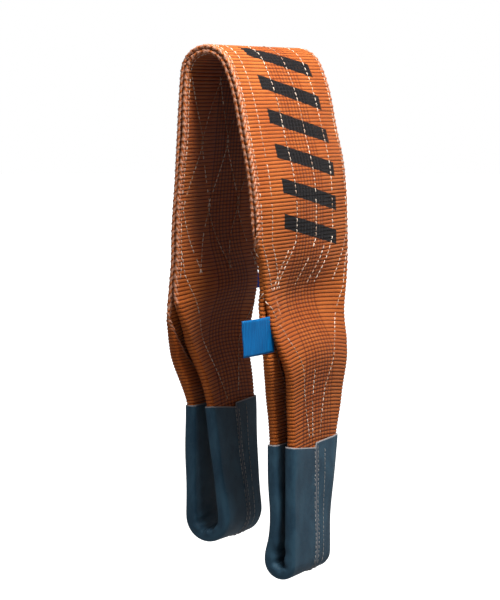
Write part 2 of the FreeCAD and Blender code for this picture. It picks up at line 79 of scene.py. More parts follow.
HINGE = {j["name"]: np.array(j["pos_m"]) / MM for j in frame["joints"]}

# ---------------------------------------------------------------- dimensions, mm

WEB_HALF = 90.0  # half of the webbing's width
PLY = 4.0
PLY_GAP = 0.3
HALF_STACK = PLY / 2 + PLY_GAP / 2  # from the seam between two plies to one ply's middle
RIB = 3.55  # pitch of the weft ribs
ROWS_PER_RIB = 6
RIB_DEPTH, RIB_CREST = 0.72, 0.12  # from valley to crest, and the crest over the ply's mean face
WAFFLE_MIDDLE, WAFFLE_HALF, WAFFLE_PITCH = 2.0, 28.0, 6.0  # the open weave in the middle
EDGE_STEPS = np.array([2.4, 1.5, 0.8, 0.3, 0.0])  # the last columns' distances from the edge
CURL_WIDTH = 7.5  # how far past a fold line the columns stay close together
CURL_RADIUS = 2.1  # to the middle of the ply, where an edge folds over
FULL_CURL_WIDTH = 8.0  # an edge folded in by this much has turned right over
FOLD_ROOM = 4.0  # how far the branches part before a fold takes its full depth
FRONT_PUSH, BACK_PUSH = 3.0, 0.8  # how far a fold may push its branch outwards
DROOP = 6.0  # how far the ribs hang down beside the middle of an eye
PINCH, BELLY, CROWN = 13.0, 5.5, 5.0  # how far the legs dip, swell and arch out of flat
PINCH_DEPTH, PINCH_SPREAD = 6.0, 30.0  # where the dip is deepest, below the crotch, and its reach
BELLY_DEPTH, BELLY_SPREAD = 62.0, 26.0  # the same for the swell
STITCH_PITCH, STITCH_LENGTH, STITCH_RADIUS = 5.2, 3.7, 0.42
STITCH_STEPS = np.array([0, 0.12, 0.5, 0.88, 1])  # shares of a stitch's length
SEAM_PITCH, SEAM_RADIUS = 4.4, 0.3  # of the sleeves' thread rows
LEG_ROWS = (-84, -68, -26, 13, 51, 84)  # w of the stitching rows along the outer ply
ZIGZAG_ROWS = (-66, -40, -14, 12, 38, 64)  # w of the middles of the zigzags on the inner ply
FOLD_ROWS = (  # (distance below the crotch, w) along the two rows that hold the folds
    [(-30, -84), (-8, -78), (30, -53), (70, -32), (143, -13)],
    [(-30, 85), (2, 78), (28, 56), (55, 35), (95, 16), (143, 7)],
)
SLANT_START, SLANT_SHIFT = 48, 24  # above the crotch, where the outer rows slant, and how far over
SPLIT_HEIGHT = -115.0  # where a leg's webbing is divided between two pieces
SLEEVE_DEPTH, SLEEVE_WALL = 5.7, 1.2  # half the sleeve's thickness, and its cloth's
SLEEVE_CORNER = 4.4
OVERLAP_EDGE, OVERLAP_END, OVERLAP_RISE = -2.0, 36.0, 1.1  # the sleeve's upper layer, across it
LABEL_ROOT, TAG_ROOT = -60.0, 58.0  # y of the labels' sewn-in ends
LABEL_LIFT, TAG_LIFT, TAG_TRIM = 3.0, 14.0, 8.0  # against the CAD labels: height and length

ROUTE_STEP = 0.25  # between the points of a route
DEPTHS = np.arange(400.0)  # distances below the crotch
FOLD_DEPTHS = np.arange(-120.0, 400.0)  # the same, from well above it

# Each side's shape, in mm and degrees. mirror: the way outwards, along X. leg: its runs from the top
# bend down, each a line's length or an arc's radius and turn. outer_arc and inner_arc: radius and turn
# of the branches' bends below the crotch. depth: crotch to the bottom bend, on the outer branch.
# bend: that bend's radius. lean: the inner branch's slope. inner_depth: crotch to the inner branch's
# bends. mouth: crotch to sleeve. bulges: (height, reach, size) of the inner branch's swells.
# spread: how much further out the leg hangs than its route. folds: (distance below the crotch, half
# width left flat) at corners that are then smoothed. sleeve_side: half the sleeve's width.
# taper: the share by which the back half narrows, down to the bottom.
SIDES = {
    "right": {
        "mirror": 1,
        "leg": [("line", 8), ("arc", 229, -10), ("line", 37), ("arc", 246, -14), ("line", 72)],
        "outer_arc": (312, 8.3),
        "inner_arc": (195, 13.2),
        "lean": 0,
        "depth": 260.5,
        "inner_depth": 97.0,
        "bend": 8.57,
        "mouth": 146,
        "bulges": [(-457, 15, -4.5), (-412, 24, 2.2), (-375, 80, -2.6)],
        "spread": 0.0,
        "folds": {
            "outer_front": [
                (-90, 90), (-46, 84), (-24, 75), (0, 67), (14, 65), (28, 63.5), (45, 59.5), (77, 49),
                (100, 44), (128, 41.2),
            ],
            "inner_front": [
                (-90, 90), (-46, 84), (-24, 75), (0, 68.5), (30, 69.5), (48, 68), (65, 64), (85, 55.5),
                (115, 46), (142, 41.2),
            ],
            "back": [
                (-30, 90), (0, 83.5), (15, 77), (35, 70), (54, 64), (74, 58), (94, 53.5), (112, 51),
                (134, 43.5), (142, 41.2),
            ],
        },
        "sleeve_side": 46.6,
        "taper": 0.36,
    },
    "left": {
        "mirror": -1,
        "leg": [("line", 8), ("arc", 382, -6), ("line", 52), ("arc", 1146, -2), ("line", 57)],
        "outer_arc": (312, 8.6),
        "inner_arc": (200, 11),
        "lean": 8,
        "depth": 234,
        "inner_depth": 56.5,
        "bend": 18.74,
        "mouth": 125,
        "bulges": [],
        "spread": 3.0,
        "folds": {
            "outer_front": [
                (0, 90), (18, 88.5), (30, 84), (52, 74), (74, 63), (97, 51), (114, 42), (122, 38),
            ],
            "inner_front": [
                (-10, 90), (15, 86), (30, 76), (45, 66), (60, 56), (75, 49), (95, 42.5), (118, 38),
            ],
            "back": [
                (-48, 90), (-24, 70), (-3, 53), (15, 52.5), (28, 53), (42, 52), (62, 47), (82, 42),
                (118, 38),
            ],
        },
        "sleeve_side": 43.4,
        "taper": 0.36,
    },
}


def smooth(x):
    """0 up to 0, 1 from 1 on, and an S-curve between."""
    x = np.clip(x, 0, 1)
    return x * x * (3 - 2 * x)


def hump(x):
    """1 at 0, and falling softly to nearly 0 by 2 on either side."""
    return np.exp(-(x**2))


# ---------------------------------------------------------------- the webbing's route


def trace(x, z, heading, runs):
    """Points along a route. The heading is in degrees from straight down, outwards."""
    lengths = [r[1] if r[0] == "line" else r[1] * abs(math.radians(r[2])) for r in runs]
    turns = [0 if r[0] == "line" else r[2] for r in runs]
    corners = np.cumsum([0, *lengths])
    s = np.append(np.arange(0, corners[-1], ROUTE_STEP), corners[-1])
    h = np.radians(np.interp(s, corners, heading + np.cumsum([0, *turns])))
    middle, ds = (h[1:] + h[:-1]) / 2, np.diff(s)
    xs = x + np.append(0, np.cumsum(np.sin(middle) * ds))
    zs = z - np.append(0, np.cumsum(np.cos(middle) * ds))
    return xs, zs, h


def bell(reach, spread):
    """Weights of a smoothing window, from -reach to reach."""
    weights = np.exp(-((np.arange(-reach, reach + 1) / spread) ** 2) / 2)
    return weights / weights.sum()


class Web:
    """The webbing of one side, as a surface over (u, w)."""

    LEAD = 25  # degrees of extra top bend beyond the apex, so that its end is smooth

    def __init__(self, side):
        self.spec = spec = SIDES[side]
        self.mirror = spec["mirror"]
        self.hinge = hinge = HINGE[f"{side}_leg_swing"]
        self.crotch = HINGE[f"{side}_eye_swing"]
        reach = math.hypot(hinge[0], hinge[2])
        leave = math.degrees(math.atan2(hinge[2], abs(hinge[0])))
        first = math.radians(90 + self.LEAD)
        runs = [("arc", reach, leave - 90 - self.LEAD), *spec["leg"]]
        lx, lz, lh = trace(reach * math.cos(first), reach * math.sin(first), 90 + self.LEAD, runs)
        ex, ez = self.eye_route()
        outer = lx + HALF_STACK * np.cos(lh), lz + HALF_STACK * np.sin(lh)
        inner = lx - HALF_STACK * np.cos(lh), lz - HALF_STACK * np.sin(lh)
        x = np.concatenate([outer[0][:-1], ex, inner[0][::-1][1:]])
        z = np.concatenate([outer[1][:-1], ez, inner[1][::-1][1:]])
        u = np.append(0, np.cumsum(np.hypot(np.diff(x), np.diff(z))))
        lead = math.radians(self.LEAD)
        apex, last = lead * (reach + HALF_STACK), u[-1] - lead * (reach - HALF_STACK)
        self.crotch_out = u[len(outer[0]) - 1] - apex
        self.crotch_in = u[len(outer[0]) + len(ex) - 2] - apex
        self.length = last - apex
        even = np.arange(0, u[-1], ROUTE_STEP)
        self.u = even - apex
        self.folds = {edge: self.fold_table(corners) for edge, corners in spec["folds"].items()}
        window = 40
        self.x, self.z = (
            np.convolve(np.pad(np.interp(even, u, line), window, "edge"), bell(window, 12.0), "valid")
            for line in (x, z)
        )
        self.x = self.x + spec["spread"] * smooth(-self.z / 150)
        dx, dz = np.gradient(self.x), np.gradient(self.z)
        size = np.hypot(dx, dz)
        self.nx, self.nz = -dz / size, dx / size
        a, b = self.centre(self.crotch_out + DEPTHS), self.centre(self.crotch_in - DEPTHS)
        self.half_gap = np.hypot(a[0] - b[0], a[1] - b[1]) / 2
        self.bottom = (self.crotch_out + self.crotch_in) / 2

    def fold_table(self, corners):
        """Half width left flat, at each of FOLD_DEPTHS, with soft corners."""
        reach = 18
        t, line = np.array(corners, float).T
        padded = np.interp(np.arange(FOLD_DEPTHS[0] - reach, FOLD_DEPTHS[-1] + reach + 1), t, line)
        return np.convolve(padded, bell(reach, 6.0), "valid")

    def eye_route(self):
        """Down the outer branch, round the bottom and up the inner branch, in the middle of the ply."""
        s = self.spec
        shift = PLY / 2  # the driving sizes are those of the ply's inner face
        (wide, p), (tight, q), lean = s["outer_arc"], s["inner_arc"], s["lean"]
        outer_depth = 8 + 2 * wide * math.sin(math.radians(p))
        foot = s["depth"] - s["bend"] * math.sin(math.radians(lean))
        runs = [
            ("line", 8),
            ("arc", wide - shift, p),
            ("arc", wide + shift, -p),
            ("line", s["depth"] - outer_depth),
            ("arc", s["bend"] + shift, -(180 + lean)),
            ("line", (foot - s["inner_depth"]) / math.cos(math.radians(lean))),
            ("arc", tight + shift, lean - q),
            ("arc", tight - shift, q),
            ("line", 8),
        ]
        x, z, h = trace(abs(self.crotch[0]) + HALF_STACK, self.crotch[2], 0, runs)
        inner = smooth((-np.degrees(h) - 50) / 60)
        for middle, spread, out in s["bulges"]:
            x = x + out * inner * hump((z - middle) / spread)
        return x, z

    def centre(self, u):
        """How far outwards and how high the middle of the ply is at u."""
        return np.interp(u, self.u, self.x), np.interp(u, self.u, self.z)

    def below(self, u):
        """Distance below the crotch, along the nearer branch."""
        return np.minimum(u - self.crotch_out, self.crotch_in - u)

    def fold_line(self, u, w):
        """w of the place where the webbing's edge starts to curl over."""
        t = self.below(u)
        line = {edge: np.interp(t, FOLD_DEPTHS, table) for edge, table in self.folds.items()}
        front = np.where(u < self.bottom, line["outer_front"], line["inner_front"])
        return np.where(w < 0, front, line["back"])

    def narrowed(self, u, y):
        """y, drawn in where the back edge of the sleeved part is narrower."""
        share = self.spec["taper"] * smooth((self.below(u) - self.spec["mouth"] + 14) / 100)
        return np.where(y > 0, y * (1 - share), y)

    def laid(self, u, y, o):
        """The place at u along and y across the webbing, off the middle of the ply by o."""
        nx, nz = np.interp(u, self.u, self.nx), np.interp(u, self.u, self.nz)
        size = np.hypot(nx, nz)
        x, z = self.centre(u)
        return np.stack([self.mirror * (x + nx / size * o), self.narrowed(u, y), z + nz / size * o], -1)

    def rolled(self, t, w, line):
        """Where an edge that rolls inwards from line puts w: how far out, how high, and its turn."""
        a, width = np.abs(w), WEB_HALF - line
        gap = np.interp(np.maximum(t, 0), DEPTHS, self.half_gap)
        squeeze = np.clip(0.5 + 0.5 * (gap - HALF_STACK) / FOLD_ROOM, 0.5, 1)
        turn_end = math.pi * smooth(width / FULL_CURL_WIDTH)
        extra = np.maximum(a - line, 0)
        turn = np.minimum(extra / CURL_RADIUS, turn_end)
        flap = extra - CURL_RADIUS * turn
        y = np.minimum(a, line) + CURL_RADIUS * np.sin(turn) + flap * np.cos(turn)
        o = -squeeze * (CURL_RADIUS * (1 - np.cos(turn)) + flap * np.sin(turn))
        widest = np.maximum(width - CURL_RADIUS * turn_end, 0)
        deepest = squeeze * (CURL_RADIUS * (1 - np.cos(turn_end)) + widest * np.sin(turn_end))
        # where the branches leave too little room, the fold pushes its own branch outwards
        room = gap - PLY / 2 - PLY_GAP
        most = np.where(w < 0, FRONT_PUSH, BACK_PUSH) * (1 - smooth((t - 60) / 40)) * smooth((t + 8) / 24)
        push = np.minimum(np.maximum(deepest - room, 0), most) * smooth(width / 6)
        return y, o + push * smooth((a - line + 48) / 48), turn

    def sway(self, t, across):
        """How far both plies lie inwards of flat: a dip at the crotch, less a swell, and an arch above."""
        share = (across / WEB_HALF) ** 2
        pinch = PINCH * hump((t - PINCH_DEPTH) / PINCH_SPREAD) * (1 - 0.85 * share)
        belly = BELLY * hump((t - BELLY_DEPTH) / BELLY_SPREAD) * (1 - share)
        crown = CROWN * share * smooth((t + 215) / 80) * (1 - smooth((t + 30) / 50))
        return pinch - belly + crown

    def point(self, u, w, off):
        """The place off the middle of the ply by off, on its outer side where off is positive."""
        u, w, off = np.broadcast_arrays(u, w, off)
        t, line = self.below(u), self.fold_line(u, w)
        across = np.minimum(np.abs(w), line)
        down = np.where(u < self.bottom, 1, -1)
        droop = DROOP * smooth((t + 25) / 90) * (1 - smooth((t - self.spec["mouth"] - 5) / 30))
        u = u + down * droop * (across / 60) ** 2
        y, o, turn = self.rolled(t, w, line)
        # the legs are not quite flat
        wave = 0.55 * np.sin(u / 19 + w / 34) + 0.45 * np.sin(u / 31 - w / 23 + 1.3)
        wave = wave * smooth((t + 190) / 60) * (1 - smooth((t + 30) / 30))
        o = o - down * self.sway(t, across) + wave + off * np.cos(turn)
        return self.laid(u, np.sign(w) * (y + off * np.sin(turn)), o)


# ---------------------------------------------------------------- meshes


def make_object(name, points, quads, attributes=None, reverse=True):
    """A mesh object from points in millimetres, quads and attributes of its points.

    With reverse, the corners of each quad are taken the other way round.
    """
    mesh = bpy.data.meshes.new(name)
    quads = np.asarray(quads, np.int32).reshape(-1, 4)
    if reverse:
        quads = quads[:, ::-1]
    mesh.vertices.add(len(points))
    mesh.vertices.foreach_set("co", (np.asarray(points) * MM).astype(np.float32).ravel())
    mesh.loops.add(quads.size)
    mesh.loops.foreach_set("vertex_index", np.ascontiguousarray(quads).ravel())
    mesh.polygons.add(len(quads))
    mesh.polygons.foreach_set("loop_start", np.arange(0, quads.size, 4, dtype=np.int32))
    mesh.update(calc_edges=True)
    mesh.validate()
    mesh.polygons.foreach_set("use_smooth", np.ones(len(quads), bool))
    for key, values in (attributes or {}).items():
        values = np.asarray(values, np.float32)
        vector = values.ndim == 2
        layer = mesh.attributes.new(key, "FLOAT_VECTOR" if vector else "FLOAT", "POINT")
        layer.data.foreach_set("vector" if vector else "value", values.ravel())
    piece = bpy.data.objects.new(name, mesh)
    bpy.context.scene.collection.objects.link(piece)
    return piece


def sheet_quads(rows, columns, ring=False):
    """The quads of a grid of points; with ring, its last column joins its first."""
    i = np.arange(rows * columns).reshape(rows, columns)
    if ring:
        i = np.concatenate([i, i[:, :1]], 1)
    return np.stack([i[:-1, :-1], i[1:, :-1], i[1:, 1:], i[:-1, 1:]], -1).reshape(-1, 4)


def closed_quads(rows, columns):
    """The quads of two grids, an upper and a lower, closed round their edges."""
    n = rows * columns
    i = np.arange(n).reshape(rows, columns)
    top = sheet_quads(rows, columns)
    rim = np.concatenate([i[:, 0], i[-1, 1:], i[-2::-1, -1], i[0, -2:0:-1]])
    following = np.roll(rim, -1)
    sides = np.stack([rim + n, following + n, following, rim], -1)
    return np.concatenate([top, top[:, ::-1] + n, sides])


def web_relief(u, w):
    """Height of the weave over the ply's mean face, and how far each place lies down in a valley or a
    waffle pit, which sets the painted shade there.
    """
    rib = np.abs(np.sin(math.pi * u / RIB)) ** 0.5
    window = 1 - smooth((np.abs(w - WAFFLE_MIDDLE) - WAFFLE_HALF) / 4)
    column = np.abs(np.cos(math.pi * (w - WAFFLE_MIDDLE) / WAFFLE_PITCH)) ** 0.9
    height = rib * (1 - 0.75 * window * (1 - column))
    return RIB_CREST - RIB_DEPTH * (1 - height), 1 - height


def web_columns(web, u):
    """w of every point of a row, for each u: denser in the waffle, at the curl and at the edge."""
    middle = np.arange(0, WAFFLE_HALF + 6, 1.4)
    halves = []
    for sign in (-1, 1):
        line = np.minimum(web.fold_line(u, np.full_like(u, sign)), WEB_HALF - CURL_WIDTH - 3.5)[:, None]
        centre = np.broadcast_to(middle, (len(u), len(middle)))
        start = centre[:, -1:]
        between = start + (line - start) * np.linspace(0, 1, 6)[1:][None, :]
        curl = line + np.linspace(0, CURL_WIDTH, 9)[1:][None, :]
        far = line + CURL_WIDTH
        flap = far + (WEB_HALF - EDGE_STEPS[0] - far) * np.linspace(0, 1, 4)[1:][None, :]
        edge = np.broadcast_to(WEB_HALF - EDGE_STEPS[1:], (len(u), len(EDGE_STEPS) - 1))
        halves.append(np.concatenate([centre, between, curl, flap, edge], 1))
    return np.concatenate([-halves[0][:, ::-1], halves[1][:, 1:]], 1)


def web_piece(web, name, first, last):
    """A stretch of one side's webbing, as a closed strip with its ribs."""
    ribs = np.arange(math.ceil(first / RIB * ROWS_PER_RIB - 1e-6), last / RIB * ROWS_PER_RIB)
    u = ribs * RIB / ROWS_PER_RIB
    hidden = web.below(u) > web.spec["mouth"] + 14
    u = u[~hidden | (np.arange(len(u)) % ROWS_PER_RIB == 0)]
    u = np.unique(np.concatenate([[first], u, [last]]).round(4))
    w = web_columns(web, u)
    grid = np.broadcast_to(u[:, None], w.shape)
    height, hollow_shade = web_relief(grid, w)
    covered = smooth((web.below(grid) - web.spec["mouth"] - 6) / 8)
    height = height * (1 - covered) - 0.3 * covered
    edge = np.clip((np.abs(w) - (WEB_HALF - 2)) / 2, 0, 1)  # 1 where the edge rounds over
    braid = 0.28 * np.sin(2 * math.pi * u / (2 * RIB))[:, None] * smooth((np.abs(w) - 84) / 3)
    half = np.maximum((PLY / 2 + height + braid) * np.sqrt(1 - edge**3), 0.8)
    top, low = web.point(grid, w, half), web.point(grid, w, -half)
    points = np.concatenate([top.reshape(-1, 3), low.reshape(-1, 3)])
    weave = np.stack([w, grid, np.zeros_like(w)], -1).reshape(-1, 3)
    weave = np.concatenate([weave, weave + [0, 0, 1]])
    # the second attribute tells the material where to paint shade in the valleys and pits
    attributes = {"weave": weave, "hollow_shade": np.tile(hollow_shade.ravel(), 2)}
    return make_object(name, points, closed_quads(*w.shape), attributes, reverse=web.mirror < 0)


# ---------------------------------------------------------------- stitching


def stitch_line(route, pitch=STITCH_PITCH):
    """Places along a route of (u, w) corners, each with the stitch's half step in u and w."""
    route = np.asarray(route, float)
    s = np.append(0, np.cumsum(np.hypot(*np.diff(route, axis=0).T)))
    at = np.arange(pitch / 2, s[-1], pitch)
    at = at + random.uniform(-0.25, 0.25, len(at))
    half = STITCH_LENGTH / 2 * random.uniform(0.85, 1.1, len(at))
    a = np.stack([np.interp(at - half, s, route[:, i]) for i in (0, 1)], 1)
    b = np.stack([np.interp(at + half, s, route[:, i]) for i in (0, 1)], 1)
    return np.concatenate([a, b], 1)[random.random(len(at)) > 0.04]


def thread_mesh(name, paths, radius):
    """Six-sided tubes with narrowed ends along paths of equally many points, as one object."""
    sides = 6
    count, steps = paths.shape[:2]
    tangent = np.gradient(paths, axis=1)
    tangent /= np.maximum(np.linalg.norm(tangent, axis=2, keepdims=True), 1e-9)
    helper = np.where(np.abs(tangent[..., 1:2]) < 0.9, [0.0, 1.0, 0.0], [1.0, 0.0, 0.0])
    across = np.cross(tangent, helper)
    across /= np.linalg.norm(across, axis=2, keepdims=True)
    other = np.cross(tangent, across)
    shape = np.ones(steps)
    shape[[0, -1]] = 0.35
    angle = np.linspace(0, 2 * math.pi, sides, endpoint=False)
    ring = radius * shape[None, :, None, None]
    points = (
        paths[:, :, None]
        + ring * np.cos(angle)[None, None, :, None] * across[:, :, None]
        + ring * np.sin(angle)[None, None, :, None] * other[:, :, None]
    )
    body = sheet_quads(steps, sides, ring=True)
    caps = []
    for k, order in ((0, 1), (steps - 1, -1)):
        c = k * sides + np.arange(sides)
        caps += [c[[0, 1, 2, 3]][::order], c[[0, 3, 4, 5]][::order]]
    one = np.concatenate([body, np.array(caps)])
    quads = (one[None] + (np.arange(count) * steps * sides)[:, None, None]).reshape(-1, 4)
    return make_object(name, points.reshape(-1, 3), quads)


def stitch_paths(lines):
    """u and w of the points along each stitch of the lines."""
    ends = np.concatenate(lines)
    return [ends[:, i, None] + (ends[:, i + 2] - ends[:, i])[:, None] * STITCH_STEPS for i in (0, 1)]


def stitches(web, name, lines):
    """Stitches of all the lines, lying on the outer side of the webbing, their ends sunk into it."""
    rise = np.array([-0.25, 0.1, 0.32, 0.1, -0.25])
    return thread_mesh(name, web.point(*stitch_paths(lines), PLY / 2 + rise), STITCH_RADIUS)


def outer_lines(web):
    """The rows on the outer ply: straight down the leg, slanting above the crotch."""
    crotch, mouth = web.crotch_out, web.spec["mouth"]
    slant_start = crotch - SLANT_START
    lines = []
    for row in LEG_ROWS:
        shift = SLANT_SHIFT if row <= -68 else -SLANT_SHIFT
        lean = random.uniform(-1.5, 1.5)
        lines.append(stitch_line([(1.5, row), (90, row + lean), (slant_start, row)]))
        lines.append(stitch_line([(slant_start, row), (crotch - 4, row + shift)]))
    for w in (-38, 32):
        lines.append(stitch_line([(crotch - 40, w), (crotch - 2, w - 20)]))
    for row in FOLD_ROWS:
        lines.append(stitch_line([(crotch + min(t, mouth - 3), w) for t, w in row]))
    lines.append(stitch_line([(crotch + 70, -9), (crotch + mouth - 3, -7)]))
    return lines


def inner_lines(web):
    """The rows on the inner ply: a lattice of long zigzags, and the two fold rows."""
    crotch, mouth, top = web.crotch_in, web.spec["mouth"], web.length
    lines = []
    for number, row in enumerate(ZIGZAG_ROWS):
        swing = 15 if number % 2 else -15
        corners = [(crotch + 6 + 62 * k, row + (swing if k % 2 else -swing)) for k in range(4)]
        lines.append(stitch_line(corners))
    for row in (-84, 84):
        lines.append(stitch_line([(crotch + 4, row), (top - 2, row)]))
    for row in FOLD_ROWS:
        lines.append(stitch_line([(crotch - min(t, mouth - 3), w) for t, w in row[::-1]]))
    return lines


def split_lines(lines, low, high):
    """The stitches of the lines that lie between two places along the webbing."""
    kept = [line[(line[:, 0] >= low) & (line[:, 2] < high)] for line in lines]
    return [line for line in kept if len(line)]


# ---------------------------------------------------------------- sleeves


def sleeve_section(side_half):
    """The sleeve's outline: y, height over its middle, and the outline's own direction out."""
    r, b, a = SLEEVE_CORNER, side_half, SLEEVE_DEPTH
    out = np.concatenate([
        np.linspace(-b + r, OVERLAP_EDGE - 0.9, 9),
        [OVERLAP_EDGE - 0.15, OVERLAP_EDGE + 0.15],
        np.linspace(OVERLAP_EDGE + 1.2, OVERLAP_END - 1.5, 9),
        [OVERLAP_END, OVERLAP_END + 2.0],
    ])
    points = [(y, a, 0.0, 1.0) for y in out]
    turn = np.radians(np.linspace(0, 90, 7))
    points += [(b - r + r * np.sin(k), a - r + r * np.cos(k), np.sin(k), np.cos(k)) for k in turn]
    points += [(b - r + r * np.cos(k), -a + r - r * np.sin(k), np.cos(k), -np.sin(k)) for k in turn]
    points += [(y, -a, 0.0, -1.0) for y in np.linspace(b - r, -b + r, 22)[1:-1]]
    points += [(-b + r - r * np.sin(k), -a + r - r * np.cos(k), -np.sin(k), -np.cos(k)) for k in turn]
    points += [(-b + r - r * np.cos(k), a - r + r * np.sin(k), -np.cos(k), np.sin(k)) for k in turn[:-1]]
    return np.array(points).T


def sleeve_swell(u, y, inside=0):
    """Slow unevenness of the sleeve's surface."""
    return 0.5 * np.sin(u / 24 + y / 19 + 2 * inside) + 0.4 * np.sin(u / 11 - y / 27 + 1)


def overlap_rise(y):
    """Height of the sleeve's upper layer over the one under it."""
    return OVERLAP_RISE * ((y > OVERLAP_EDGE) & (y <= OVERLAP_END))


def sleeve_bulge(web, u, y, o):
    """How far the sleeve's cloth stands off its outline: overlap, swells, and creases inside the bend."""
    near_bottom = hump((u - web.bottom) / 34)
    inside = smooth(-o / 4)
    flat = 1 - smooth((np.abs(y) - 38) / 8)
    crease = np.sin((u + 0.16 * y) / 2.6 + 1.4 * np.sin(y / 17)) * (0.6 + 0.4 * np.sin(y / 9 + u / 13))
    bulge = overlap_rise(y) * (o > 0) + 1.5 * near_bottom * inside * crease
    bulge = bulge + sleeve_swell(u, y, inside) * (0.25 + 0.75 * flat) * (1 - 0.5 * inside)
    return bulge + 0.8 * flat * inside * near_bottom


def tube_quads(rows, columns):
    """The quads of two tubes of points, an outer and an inner, joined at both ends."""
    n = rows * columns
    i = np.arange(n).reshape(rows, columns)
    outer = sheet_quads(rows, columns, ring=True)
    ends = []
    for row, order in ((i[0], 1), (i[-1], -1)):
        after = np.roll(row, -1)
        ends.append(np.stack([row, after, after + n, row + n], -1)[:, ::order])
    return np.concatenate([outer, outer[:, ::-1] + n, *ends])


def sleeve_piece(web, name):
    """The sleeve, a tube round the folded webbing from one mouth of the eye to the other."""
    side_half, mouth = web.spec["sleeve_side"], web.spec["mouth"]
    y, o, out_y, out_o = sleeve_section(side_half)
    start, end = web.crotch_out + mouth, web.crotch_in - mouth
    u = np.linspace(start, end, 150)[:, None]
    # the under layer's cut edge runs down to the seam, and the upper layer's is nearly square
    dip = np.where(y < OVERLAP_EDGE, 6.5 * np.clip((y + side_half) / 44, 0, 1), 1.5 - 0.03 * y)
    near_start, near_end = (np.clip(1 - away / 34.0, 0, 1) for away in (u - start, end - u))
    u = u + dip * (o > 0) * (near_start - near_end)
    stand = sleeve_bulge(web, u, y, o)
    layers = []
    for depth in (0.0, SLEEVE_WALL):
        height = o + (stand - depth) * out_o - HALF_STACK
        layers.append(web.laid(u, y + (stand - depth) * out_y, height).reshape(-1, 3))

    rows, columns = u.shape
    rim = (np.arange(rows) == 0) | (np.arange(rows) == rows - 1)
    cut = np.repeat(rim[:, None], columns, axis=1).astype(float)  # 1 where the cloth's cut edge shows
    at_edge = np.abs(y - OVERLAP_EDGE) < 0.3
    cut[:, at_edge & (o > 0)] = 0.5
    cut[:, at_edge & (o < 0)] = 0
    cloth = np.stack([np.broadcast_to(y, u.shape), u, np.broadcast_to(o, u.shape)], -1).reshape(-1, 3)
    cuts = np.concatenate([cut.ravel(), rim.repeat(columns)])
    attributes = {"weave": np.tile(cloth, (2, 1)), "cut": cuts}
    quads = tube_quads(rows, columns)
    return make_object(name, np.concatenate(layers), quads, attributes, reverse=web.mirror < 0)


def sleeve_seam(web, name):
    """The thread rows along the sleeve's overlap: two through it and one beside its edge."""
    mouth = web.spec["mouth"]
    start, end = web.crotch_out + mouth + 5, web.crotch_in - mouth - 5
    lines = []
    for row in (OVERLAP_EDGE + 1.9, OVERLAP_EDGE + 17, OVERLAP_EDGE - 2.2):
        wobble = [(k, row + random.uniform(-0.2, 0.2)) for k in np.linspace(start, end, 14)]
        lines.append(stitch_line(wobble, SEAM_PITCH))
    u, y = stitch_paths(lines)
    rise = np.array([-0.3, 0.1, 0.25, 0.1, -0.3])
    height = SLEEVE_DEPTH + overlap_rise(y) + sleeve_swell(u, y) + rise - HALF_STACK
    return thread_mesh(name, web.laid(u, y, height), SEAM_RADIUS)


# ---------------------------------------------------------------- labels


def label_piece(name, node, side, bow):
    """A sewn-in label, from its root in the fold to its free end, a little bowed."""
    (x0, y0, z0), (x1, y1, z1) = [np.array(corner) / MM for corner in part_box(node)]
    front = y0 < 0
    free, held, hinge, lift = (
        (y0, LABEL_ROOT, y1, LABEL_LIFT) if front else (y1 - TAG_TRIM, TAG_ROOT, y0, TAG_LIFT)
    )
    middle, half, height = (x0 + x1) / 2, (x1 - x0) / 2 * 0.9, (z0 + z1) / 2
    y = np.linspace(held, free, 26)
    out = np.clip((y - hinge) / (free - hinge), 0, 1)[:, None]
    k = np.linspace(0, 1, 15)[None, :]
    shrink = 1 - 0.03 * out
    z = height + lift + (z1 - z0) * (k - 0.5) * shrink + 0.9 * out * np.sin(2.4 * k)
    below = HINGE[f"{side}_eye_swing"][2] - height
    pinch = 0.54 * PINCH * hump((below - PINCH_DEPTH) / PINCH_SPREAD)  # the dip at the folded edge
    x = middle - math.copysign(1, middle) * pinch
    x = x + bow * (out**2) * (0.75 + 0.5 * k) + 0.35 * out * np.sin(6 * k + 1)
    y = y[:, None] + 0.5 * out * np.sin(5 * k)
    faces = [np.stack([x + face * half, y, z], -1).reshape(-1, 3) for face in (1, -1)]
    weave = np.stack([y, z, np.zeros_like(z)], -1).reshape(-1, 3)
    attributes = {"weave": np.tile(weave, (2, 1))}
    quads = closed_quads(*z.shape)
    piece = make_object(name, np.concatenate(faces), quads, attributes, reverse=front)
    flat = (z1 - z0) * MM, abs(free - held) * MM
    return piece, np.array([middle, hinge, height]), (1 if front else -1), flat


# ---------------------------------------------------------------- materials


